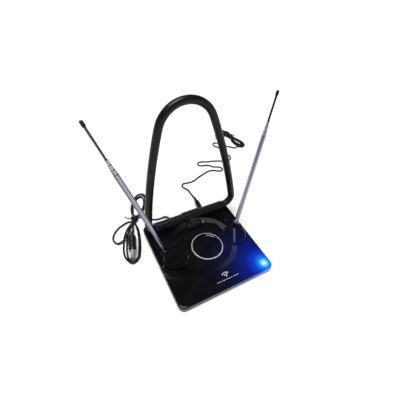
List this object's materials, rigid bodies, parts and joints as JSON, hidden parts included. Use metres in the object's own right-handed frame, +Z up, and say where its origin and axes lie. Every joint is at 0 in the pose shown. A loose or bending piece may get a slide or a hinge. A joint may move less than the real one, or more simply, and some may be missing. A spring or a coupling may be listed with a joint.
{
  "type": "rabbit ears antenna",
  "caption": "Amplified indoor television antenna: square base with gain knob, tilting loop, swivelling telescopic rods, coaxial lead and power lead.",
  "frame": {"origin": "centre of the anti-slip pad's underside, on the surface the base stands on", "axes": "+X to the right seen from the front, +Y to the back, +Z up"},
  "size_m": [0.3671, 0.3988, 0.2309],
  "materials": {
    "gloss_black": "high gloss moulded plastic",
    "satin_black": "satin moulded plastic",
    "inner_black": "matt moulded plastic",
    "pad_rubber": "matt foam rubber",
    "cord_jacket": "satin extruded jacket",
    "chrome": "polished plating",
    "ballast_steel": "rolled sheet",
    "fastener_steel": "zinc plated",
    "board_green": "solder mask",
    "chip_black": "moulded chips",
    "tinplate": "bright tinplate",
    "led_glow": "clear lens, lit",
    "copper": "copper wire",
    "plug_insulator": "natural polymer",
    "gold_pin": "gold flash"
  },
  "bodies": {
    "base": {"base_top_cover": "gloss_black", "base_bottom_cover": "inner_black", "antislip_pad": "pad_rubber", "ballast_plate": "ballast_steel", "case_screws": "fastener_steel", "dome_cover": "gloss_black", "swivel_sockets": "satin_black", "amplifier_board": "board_green", "board_parts": "chip_black", "shield_can": "tinplate", "board_screws": "fastener_steel", "potentiometer": "tinplate", "power_led": "led_glow", "dc_jack": "inner_black", "coax_gland": "cord_jacket", "loop_bracket": "satin_black", "hinge_pin": "chrome", "coax_lead": "cord_jacket", "coax_hank": "cord_jacket", "coax_tie": "satin_black", "iec_body": "satin_black", "iec_shell": "chrome", "iec_insulator": "plug_insulator", "iec_pin": "gold_pin", "dc_plug_body": "satin_black", "dc_plug_barrel": "chrome", "power_lead": "cord_jacket", "lead_hank": "cord_jacket", "lead_tie": "satin_black", "usb_plug_body": "satin_black", "usb_plug_shell": "chrome"},
    "knob": {"gain_knob": "gloss_black", "knob_ring": "chrome", "pot_shaft": "fastener_steel"},
    "loop": {"loop_tube": "satin_black", "loop_conductor": "copper", "loop_sleeve": "satin_black", "loop_clamp": "satin_black", "clamp_screws": "fastener_steel"},
    "left_swivel": {"left_swivel": "satin_black", "left_swivel_nut": "fastener_steel", "left_pivot_pin": "chrome"},
    "left_rod": {"left_section_1": "chrome"},
    "left_slide_2": {"left_section_2": "chrome"},
    "left_slide_3": {"left_section_3": "chrome"},
    "left_slide_4": {"left_section_4": "chrome"},
    "left_tip": {"left_tip_rod": "chrome", "left_tip_cap": "satin_black"},
    "right_swivel": {"right_swivel": "satin_black", "right_swivel_nut": "fastener_steel", "right_pivot_pin": "chrome"},
    "right_rod": {"right_section_1": "chrome"},
    "right_slide_2": {"right_section_2": "chrome"},
    "right_slide_3": {"right_section_3": "chrome"},
    "right_slide_4": {"right_section_4": "chrome"},
    "right_tip": {"right_tip_rod": "chrome", "right_tip_cap": "satin_black"}
  },
  "joints": [
    {"name": "gain_turn", "type": "hinge", "parent": "base", "child": "knob", "pos_m": [0, -0.0065, 0.0166], "axis": [0, 0, -1], "range_deg": [-140, 140]},
    {"name": "loop_tilt", "type": "hinge", "parent": "base", "child": "loop", "pos_m": [0, 0.039, 0.021], "axis": [-1, 0, 0], "range_deg": [-12, 20]},
    {"name": "left_swing", "type": "hinge", "parent": "base", "child": "left_swivel", "pos_m": [-0.0646, 0.0107, 0.0248], "axis": [0, 0, 1], "range_deg": [-16, 90]},
    {"name": "left_tilt", "type": "hinge", "parent": "left_swivel", "child": "left_rod", "pos_m": [-0.0646, 0.0107, 0.0248], "axis": [-0.5793, -0.8151, 0], "range_deg": [-20, 66]},
    {"name": "left_pull_2", "type": "slide", "parent": "left_rod", "child": "left_slide_2", "axis": [-0.2895, 0.2057, 0.9348], "range_m": [-0.006, 0.12]},
    {"name": "left_pull_3", "type": "slide", "parent": "left_slide_2", "child": "left_slide_3", "axis": [-0.2895, 0.2057, 0.9348], "range_m": [-0.006, 0.12]},
    {"name": "left_pull_4", "type": "slide", "parent": "left_slide_3", "child": "left_slide_4", "axis": [-0.2895, 0.2057, 0.9348], "range_m": [-0.006, 0.12]},
    {"name": "left_pull_tip", "type": "slide", "parent": "left_slide_4", "child": "left_tip", "axis": [-0.2895, 0.2057, 0.9348], "range_m": [-0.041, 0.087]},
    {"name": "right_swing", "type": "hinge", "parent": "base", "child": "right_swivel", "pos_m": [0.0646, 0.0107, 0.0248], "axis": [0, 0, 1], "range_deg": [-90, 16]},
    {"name": "right_tilt", "type": "hinge", "parent": "right_swivel", "child": "right_rod", "pos_m": [0.0646, 0.0107, 0.0248], "axis": [-0.5793, 0.8151, 0], "range_deg": [-20, 66]},
    {"name": "right_pull_2", "type": "slide", "parent": "right_rod", "child": "right_slide_2", "axis": [0.3014, 0.2142, 0.9291], "range_m": [-0.006, 0.12]},
    {"name": "right_pull_3", "type": "slide", "parent": "right_slide_2", "child": "right_slide_3", "axis": [0.3014, 0.2142, 0.9291], "range_m": [-0.006, 0.12]},
    {"name": "right_pull_4", "type": "slide", "parent": "right_slide_3", "child": "right_slide_4", "axis": [0.3014, 0.2142, 0.9291], "range_m": [-0.006, 0.12]},
    {"name": "right_pull_tip", "type": "slide", "parent": "right_slide_4", "child": "right_tip", "axis": [0.3014, 0.2142, 0.9291], "range_m": [-0.034, 0.094]}
  ]
}
